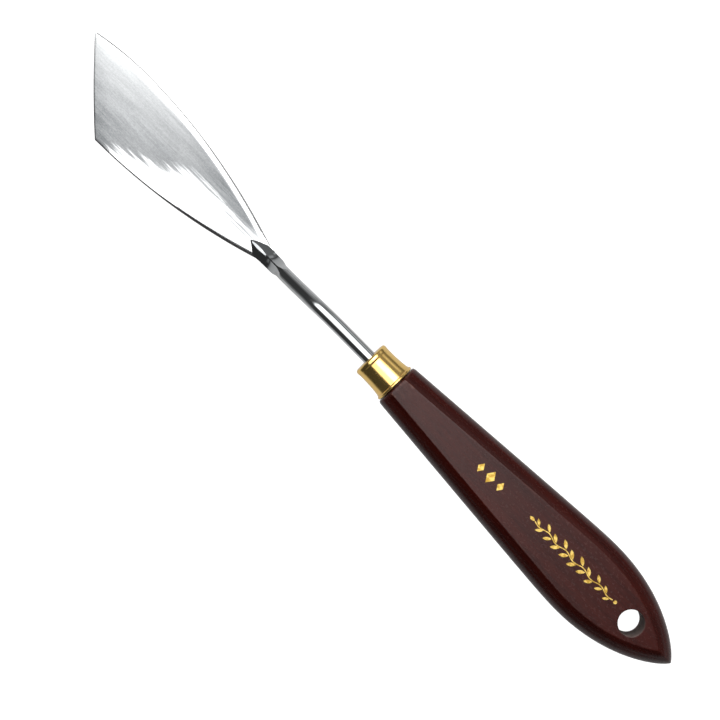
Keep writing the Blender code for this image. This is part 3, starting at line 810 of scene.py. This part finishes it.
def build_stem(mat):
    half = 20
    ts = [k / half for k in range(half + 1)]
    rings = []

    def half_round(t):
        angle = -math.pi / 2 + math.pi * t
        return math.cos(angle), math.sin(angle)

    def ring(centre, angle, halves):
        both = halves + [(-a, u) for a, u in reversed(halves[1:-1])]
        x, y, z = centre
        rings.append(
            [
                ((x - u * math.sin(angle) - CENTRE_X), y + a, z + u * math.cos(angle))
                for a, u in both
            ]
        )

    for i, (x, z, angle) in enumerate(stem_path(1.5)):
        flat = smoothstep((-16.0 - x) / 4.0)
        limit = STEM_RADIUS + (TANG_FLAT - STEM_RADIUS) * flat if flat > 0 else 9.0
        straight = FALL + angle if x > BEND_X + 5 else 0.0
        stretch = 1 / math.cos(straight)
        halves = []
        for t in ts:
            a, u = half_round(t)
            up = u * STEM_RADIUS * stretch
            halves.append((a * STEM_RADIUS, max(-limit, min(limit, up))))
        if i == 0:
            ring((x, 0.0, z), angle, [(a * 0.7, u * 0.7) for a, u in halves])
            z += 0.8 * math.tan(HANDLE_TILT)
            x += 0.8
        ring((x, side_shift(x), z), angle, halves)
    tall = STEM_RADIUS / math.cos(FALL)
    stations = [FORGE_START + (NOSE_BREAK - FORGE_START) * k / 30 for k in range(1, 31)]
    stations += [NOSE_BREAK + (NOSE_SHOULDER - NOSE_BREAK) * k / 8 for k in range(1, 9)]
    stations += [NOSE_SHOULDER + (NOSE_TIP - NOSE_SHOULDER) * k / 14 for k in range(1, 15)]
    for x in stations:
        m = smoothstep((x - FORGE_START) / 2.6)
        skew = 0.26 * smoothstep((x - 51.6) / 3.0) * (1 - smoothstep((x - 57.0) / 3.3))
        halves = []
        for t in ts:
            a, u = half_round(t)
            rod = (a * STEM_RADIUS, max(0.0, fall_z(x) + u * tall - PAD))
            roof = roof_section(x, t)
            halves.append((rod[0] * (1 - m) + roof[0] * m, rod[1] * (1 - m) + roof[1] * m))
        ring((x, side_shift(x), PAD), 0.0, halves)
        rings[-1] = [(px + skew * (py - side_shift(x)), py, pz) for px, py, pz in rings[-1]]
    mesh = loft(rings, "stem_steel", merge=1e-4)
    mesh.materials.append(mat)
    mesh.shade_smooth()
    mesh.set_sharp_from_angle(angle=math.radians(28))
    forged = mesh.attributes.new("forged", "FLOAT", "POINT")
    values = [
        smoothstep((v.co.x / MM + CENTRE_X - FORGE_START) / 5.5)
        for v in mesh.vertices
    ]
    forged.data.foreach_set("value", np.array(values, np.float32))
    piece = bpy.data.objects.new("stem_steel", mesh)
    bpy.context.scene.collection.objects.link(piece)
    return piece


# ------------------------------------------------------------------ blade
def blade_middle(x):
    return BLADE_SET - BLADE_YAW * min(x - BLADE_ROOT, 40.0)


def blade_half_width(x):
    if x < BLADE_ROOT:
        return BLADE_HALF_ROOT - 0.78 * smoothstep((BLADE_ROOT - x) / 4.6)
    if x <= BLADE_WIDEST:
        t = (x - BLADE_ROOT) / (BLADE_WIDEST - BLADE_ROOT)
        return BLADE_HALF_WIDE - (BLADE_HALF_WIDE - BLADE_HALF_ROOT) * (1 - t) ** BLADE_POWER
    return BLADE_HALF_WIDE - TIP_FALL * (x - BLADE_WIDEST) ** 2


def blade_thickness(x):
    t = (x - HEEL_START) / (BLADE_TIP_X - HEEL_START)
    return HEEL_THICKNESS + (FRONT_THICKNESS - HEEL_THICKNESS) * smoothstep(t)


def build_blade(mat):
    tip_y = blade_middle(BLADE_TIP_X) - blade_half_width(BLADE_TIP_X)
    corner_y = blade_middle(BLADE_CORNER_X) + blade_half_width(BLADE_CORNER_X)
    tip, corner = Vector((BLADE_TIP_X, tip_y)), Vector((BLADE_CORNER_X, corner_y))
    ahead = Vector(((corner - tip).y, -(corner - tip).x)).normalized()
    count = 190
    x0 = HEEL_START + 0.05
    inner = 26
    rows, faces_flag = [], []
    for k in range(count + 1):
        f = k / count
        # rows crowd towards the front edge, where the leaf is ground thin
        f = f if k < count - 12 else 1 - (1 - (count - 12) / count) * ((count - k) / 12) ** 1.6
        xr, xl = x0 + (BLADE_TIP_X - x0) * f, x0 + (BLADE_CORNER_X - x0) * f
        r = Vector((xr, blade_middle(xr) - blade_half_width(xr)))
        l = Vector((xl, blade_middle(xl) + blade_half_width(xl)))
        width = (l - r).length
        from_front = (1 - f) * (BLADE_TIP_X + BLADE_CORNER_X - 2 * x0) / 2 * 0.72
        opening = smoothstep((r.x - 57.2) / 3.4)
        rim_open = smoothstep((r.x - 54.2) / 1.6)
        bevel_r = max(0.45, (1.60 - 1.15 * smoothstep((r.x - 96.0) / 38.0)) * opening)  # long side: wide, low
        bevel_l = max(0.45, (1.40 - 0.95 * smoothstep((l.x - 60.0) / 34.0)) * opening)
        ease = 0.31
        ps = [0.0, ease * 0.5 / width, ease / width, (ease + (bevel_r - ease) * 0.5) / width, bevel_r / width]
        left_ps = [1 - bevel_l / width, 1 - (ease + (bevel_l - ease) * 0.5) / width, 1 - ease / width, 1 - ease * 0.5 / width, 1.0]
        top_r = blade_thickness(r.x)
        rim = 0.17 * rim_open  # drop of the narrow facet
        low = max(0.02, top_r - 0.17 - EDGE_THICKNESS + 0.04) * opening  # and of the wide, low bevel
        drop = [rim + low, rim * 0.5 + low, low, low * 0.5, 0.0]
        shallow = 1 - 0.26 * smoothstep((r.x - 84.0) / 14.0)
        long_side = [rim * shallow + low, rim * shallow * 0.5 + low, low, low * 0.5, 0.0]
        middle = [ps[-1] + (left_ps[0] - ps[-1]) * j / inner for j in range(1, inner)]
        all_p = ps + middle + left_ps
        drops = long_side + [0.0] * len(middle) + list(reversed(drop))
        row = []
        for p, d in zip(all_p, drops):
            point = r.lerp(l, p) + ahead * FRONT_BOW * 4 * p * (1 - p) * f**6
            top = blade_thickness(point.x)
            z = max(0.1, top - d)
            # the working edge is ground down over its last third of a millimetre
            if from_front < 0.3:
                z = min(z, top - 0.13 * (1 - from_front / 0.3))
            row.append((point.x - CENTRE_X, point.y, z))
        rows.append(row)
        faces_flag.append((opening, from_front))
    bm = bmesh.new()
    upper = [[bm.verts.new(p) for p in row] for row in rows]
    lower = [[bm.verts.new((p[0], p[1], 0.0)) for p in row[::2] + ([row[-1]] if len(row) % 2 == 0 else [])] for row in rows]
    for a, b in zip(upper, upper[1:]):
        for i in range(len(a) - 1):
            bm.faces.new((a[i], a[i + 1], b[i + 1], b[i]))
    for a, b in zip(lower, lower[1:]):
        for i in range(len(a) - 1):
            bm.faces.new((a[i + 1], a[i], b[i], b[i + 1]))
    for (la, lb), (ua, ub) in zip(zip(lower, lower[1:]), zip(upper, upper[1:])):
        bm.faces.new((la[0], ua[0], ub[0], lb[0]))
        bm.faces.new((ua[-1], la[-1], lb[-1], ub[-1]))
    for edge, row in ((lower[0], upper[0]), (lower[-1], upper[-1])):
        bm.faces.new(edge + list(reversed(row)))
    mesh = finish_mesh(bm, "blade_steel", merge=1e-6)
    mesh.materials.append(mat)
    mesh.shade_smooth()
    mesh.set_sharp_from_angle(angle=math.radians(28))
    face = mesh.attributes.new("face", "FLOAT", "POINT")
    near_front = mesh.attributes.new("front", "FLOAT", "POINT")
    values, fronts = [], []
    for v in mesh.vertices:
        x, y = v.co.x / MM + CENTRE_X, v.co.y / MM
        edge = blade_half_width(min(x, BLADE_TIP_X)) + (y - blade_middle(x))  # distance from the long side
        near = smoothstep((x - 88.0) / 34.0)
        gap = -((Vector((x, y)) - tip).dot(ahead))  # distance from the working edge
        near *= smoothstep(gap / 9.0)
        values.append(smoothstep((edge - 1.40 * (1 - smoothstep((x - 88.0) / 34.0))) / (0.55 + 2.2 * near)))
        fronts.append(1 - smoothstep(gap / 5.5))
    face.data.foreach_set("value", np.array(values, np.float32))
    near_front.data.foreach_set("value", np.array(fronts, np.float32))
    piece = bpy.data.objects.new("blade_steel", mesh)
    bpy.context.scene.collection.objects.link(piece)
    return piece


# ------------------------------------------------------------------ foil ornament
def foil_solid(bm, outline, low, high):
    """Thin closed plate with the given outline (counter-clockwise, in mm)."""
    bottom = [bm.verts.new((x, y, low)) for x, y in outline]
    top = [bm.verts.new((x, y, high)) for x, y in outline]
    bm.faces.new(top)
    bm.faces.new(list(reversed(bottom)))
    for i in range(len(outline)):
        j = (i + 1) % len(outline)
        bm.faces.new((bottom[i], bottom[j], top[j], top[i]))


def leaf_outline(x, y, length, width, angle, steps=10):
    points = []
    for k in range(steps + 1):
        t = k / steps
        points.append((t * length, width / 2 * math.sin(math.pi * t) ** 0.9))
    for k in range(steps - 1, 0, -1):
        t = k / steps
        points.append((t * length, -width / 2 * math.sin(math.pi * t) ** 0.9))
    c, s = math.cos(angle), math.sin(angle)
    return [(x + px * c - py * s, y + px * s + py * c) for px, py in points]


def build_foil(mat):
    """A plain sprig and three lozenges, stamped along the upper face."""
    low, high = HALF_T - 0.012, HALF_T + 0.016
    bm = bmesh.new()
    level = high
    # sprig: a thin wavy line with a leaf on alternate sides
    x0, x1, y0 = -89.0, -56.6, -0.9
    span = x1 - x0
    line = []
    for k in range(61):
        t = k / 60
        line.append((x0 + span * t, y0 + 0.42 * math.sin(2 * math.pi * 4.5 * t)))
    outline_a = [(x, y - 0.15) for x, y in line]
    outline_b = [(x, y + 0.15) for x, y in reversed(line)]
    foil_solid(bm, outline_a + outline_b, low, level)
    for k in range(18):
        t = (k + 0.55) / 18.6
        x = x0 + span * t
        y = y0 + 0.42 * math.sin(2 * math.pi * 4.5 * t)
        side = 1 if k % 2 == 0 else -1
        grow = 0.75 + 0.35 * math.sin(math.pi * t)
        foil_solid(
            bm,
            leaf_outline(x, y + side * 0.30, 2.75 * grow, 1.02 * grow, side * math.radians(38)),
            low,
            level + 0.0004 * (k % 3 + 1),
        )
    foil_solid(bm, leaf_outline(x1 + 0.25, y0, 1.9, 1.0, 0.0), low, level)
    disc = [(x0 - 1.0 + 0.55 * math.cos(2 * math.pi * i / 20), y0 + 0.55 * math.sin(2 * math.pi * i / 20)) for i in range(20)]
    foil_solid(bm, disc, low, level)
    # three lozenges nearer the ferrule
    for x, scale in ((-42.2, 0.8), (-38.2, 1.1), (-34.2, 0.8)):
        a, b = 1.35 * scale, 1.95 * scale
        ring_out = [(x + a, y0 + 0.2), (x, y0 + 0.2 + b), (x - a, y0 + 0.2), (x, y0 + 0.2 - b)]
        foil_solid(bm, ring_out, low, level)
    bmesh.ops.recalc_face_normals(bm, faces=bm.faces)
    bmesh.ops.scale(bm, vec=(MM, MM, MM), verts=bm.verts)
    mesh = bpy.data.meshes.new("foil_ornament")
    bm.to_mesh(mesh)
    bm.free()
    mesh.materials.append(mat)
    piece = bpy.data.objects.new("foil_ornament", mesh)
    bpy.context.scene.collection.objects.link(piece)
    put_on_handle_axis(piece)
    return piece


# ------------------------------------------------------------------ the knife
steel_blade = brushed_blade_steel()
handle = build_handle(stained_wood())
ferrule = build_ferrule(polished_brass())
stem = build_stem(polished_steel())
blade = build_blade(steel_blade)
foil = build_foil(gold_foil())

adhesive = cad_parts["tang_adhesive"]
adhesive.data.materials.clear()
adhesive.data.materials.append(cured_resin())

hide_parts("handle")
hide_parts("ferrule")
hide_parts("stem")
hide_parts("blade_heel", "blade_leaf")
for piece in (handle, ferrule, stem, foil):
    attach(piece, "knife")
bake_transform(blade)

# ------------------------------------------------------------------ floor
bm = bmesh.new()
centre = bm.verts.new((0, 0, 0))
inner_ring = []
for radius in (0.4, 0.9, 1.6, 2.4):
    ring_now = [
        bm.verts.new((radius * math.cos(2 * math.pi * i / 96), radius * math.sin(2 * math.pi * i / 96), 0))
        for i in range(96)
    ]
    for i in range(96):
        j = (i + 1) % 96
        if inner_ring:
            bm.faces.new((inner_ring[i], inner_ring[j], ring_now[j], ring_now[i]))
        else:
            bm.faces.new((centre, ring_now[i], ring_now[j]))
    inner_ring = ring_now
bm.normal_update()
bmesh.ops.reverse_faces(bm, faces=[f for f in bm.faces if f.normal.z < 0])
floor_mesh = bpy.data.meshes.new("floor")
bm.to_mesh(floor_mesh)
bm.free()
floor_mesh.materials.append(pale_floor())
floor = bpy.data.objects.new("floor", floor_mesh)
floor.location.z = -0.031  # below the lowest place the bent blade reaches
bpy.context.scene.collection.objects.link(floor)

# ------------------------------------------------------------------ light
H = 1.5  # height of the overhead softbox


def area_light(name, centre, size_x, size_y, radiance, aim=None, colour=(1, 1, 1)):
    data = bpy.data.lights.new(name, "AREA")
    data.shape = "RECTANGLE"
    data.size, data.size_y = size_x, size_y
    data.energy = radiance * math.pi * size_x * size_y
    data.color = colour
    made = bpy.data.objects.new(name, data)
    made.location = centre
    if aim is not None:
        made.rotation_euler = (Vector(aim) - Vector(centre)).to_track_quat("-Z", "Y").to_euler()
    bpy.context.scene.collection.objects.link(made)
    made.visible_camera = False
    return made


def tangent_of(degrees):
    return math.tan(math.radians(degrees))


def overhead(name, back, front, far, near, radiance, height=H):
    """Softbox overhead that fills the given angles from the vertical: back and front along x, far and near along y."""
    x0, x1 = -height * tangent_of(back), height * tangent_of(front)
    y0, y1 = -height * tangent_of(far), height * tangent_of(near)
    return area_light(name, ((x0 + x1) / 2, (y0 + y1) / 2, height), x1 - x0, y1 - y0, radiance)


wide = overhead("softbox_wide", 12, 40, 42.5, 25, 2.3)
core = overhead("softbox_core", 9.5, 32, 34, -3, 3.2, height=H - 0.02)
for light in (wide, core):
    light.visible_diffuse = False
# soft light for the lacquer's own colour: mostly from the -Y side, some from straight above
key = area_light("key", (1.10, -0.90, 1.20), 1.1, 1.1, 1.0, aim=(0, 0, 0))
key.data.energy = 26.0
top = area_light("top", (0.0, 0.0, 1.9), 0.9, 0.9, 1.0, aim=(0, 0, 0))
top.data.energy = 16.5
for light in (key, top):
    light.visible_glossy = False

world = bpy.data.worlds.new("studio")
bpy.context.scene.world = world
world.use_nodes = True
tree = world.node_tree
tree.nodes.clear()


def world_math(operation, a, b=None, c=None, clamp=False):
    node = tree.nodes.new("ShaderNodeMath")
    node.operation = operation
    node.use_clamp = clamp
    for slot, value in enumerate((a, b, c)):
        if value is None:
            continue
        if isinstance(value, (int, float)):
            node.inputs[slot].default_value = value
        else:
            tree.links.new(value, node.inputs[slot])
    return node.outputs[0]


def world_range(value, low, high, to_low, to_high):
    node = tree.nodes.new("ShaderNodeMapRange")
    node.interpolation_type = "SMOOTHSTEP"
    for slot, number in (("From Min", low), ("From Max", high), ("To Min", to_low), ("To Max", to_high)):
        node.inputs[slot].default_value = number
    tree.links.new(value, node.inputs["Value"])
    return node.outputs["Result"]


where = tree.nodes.new("ShaderNodeTexCoord")
split = tree.nodes.new("ShaderNodeSeparateXYZ")
tree.links.new(where.outputs["Generated"], split.inputs["Vector"])
up = split.outputs["Z"]
side = split.outputs["Y"]
# dim room: a soft glow low on the -Y side, with a paler strip in it
facing = world_range(side, -0.30, -0.70, 0.0, 1.0)
off_axis = world_math("ABSOLUTE", split.outputs["X"])
strip = world_math(
    "MULTIPLY",
    world_range(up, 0.10, 0.27, 0.0, 1.0),
    world_range(up, 0.30, 0.46, 1.0, 0.0),
)
strip = world_math("MULTIPLY", strip, world_range(off_axis, 0.10, 0.30, 1.0, 0.0))
glow = world_math("MULTIPLY_ADD", strip, 0.60, 0.20)
glow = world_math("MULTIPLY", glow, facing)
# the far end of the room is paler near the horizon
end = world_math("MULTIPLY", world_range(split.outputs["X"], 0.28, 0.42, 0.0, 1.0), world_range(up, 0.25, 0.08, 0.0, 1.0))
end = world_math("MULTIPLY", end, world_range(side, 0.6, -0.6, 0.24, 0.34))
room = world_math("MULTIPLY_ADD", glow, 1.0, 0.055)
room = world_math("ADD", room, end)
# and a soft panel stands in the two corners at the handle's end
corner = world_math("MULTIPLY", world_range(split.outputs["X"], -0.30, -0.46, 0.0, 1.0), world_range(world_math("ABSOLUTE", side), 0.24, 0.42, 0.0, 1.0))
corner = world_math("MULTIPLY", corner, world_range(up, 0.16, 0.34, 0.0, 1.0))
room = world_math("MULTIPLY_ADD", corner, 0.13, room)
dim = tree.nodes.new("ShaderNodeBackground")
dim.inputs["Color"].default_value = (1, 1, 1, 1)
tree.links.new(room, dim.inputs["Strength"])
pale = tree.nodes.new("ShaderNodeBackground")
pale.inputs["Color"].default_value = (1, 1, 1, 1)
pale.inputs["Strength"].default_value = 1.05
path = tree.nodes.new("ShaderNodeLightPath")
choose = tree.nodes.new("ShaderNodeMixShader")
tree.links.new(path.outputs["Is Camera Ray"], choose.inputs["Fac"])
tree.links.new(dim.outputs["Background"], choose.inputs[1])
tree.links.new(pale.outputs["Background"], choose.inputs[2])
out = tree.nodes.new("ShaderNodeOutputWorld")
tree.links.new(choose.outputs["Shader"], out.inputs["Surface"])

bpy.context.scene.view_settings.view_transform = "Standard"
bpy.context.scene.view_settings.look = "None"

# ------------------------------------------------------------------ camera: straight above the knife, turned 45 degrees to it
PIXEL = 0.2941  # millimetres at the height of the handle's axis
camera_data = bpy.data.cameras.new("camera")
camera_data.sensor_width = 36.0
camera_data.lens = 150.0
distance = PIXEL * 720 * 150.0 / 36.0
turn = math.radians(45.386)
right = Vector((-math.cos(turn), -math.sin(turn), 0))
above = Vector((math.sin(turn), -math.cos(turn), 0))
camera = bpy.data.objects.new("camera", camera_data)
bpy.context.scene.collection.objects.link(camera)
centre_x = (243.87 - 201.0) * PIXEL - CENTRE_X
centre_y = -(-7.76 - 0.5) * PIXEL
rotation = Matrix((right, above, Vector((0, 0, 1)))).transposed()
camera.matrix_world = Matrix.Translation(Vector((centre_x, centre_y, distance + 9.0)) * MM) @ rotation.to_4x4()
bpy.context.scene.camera = camera
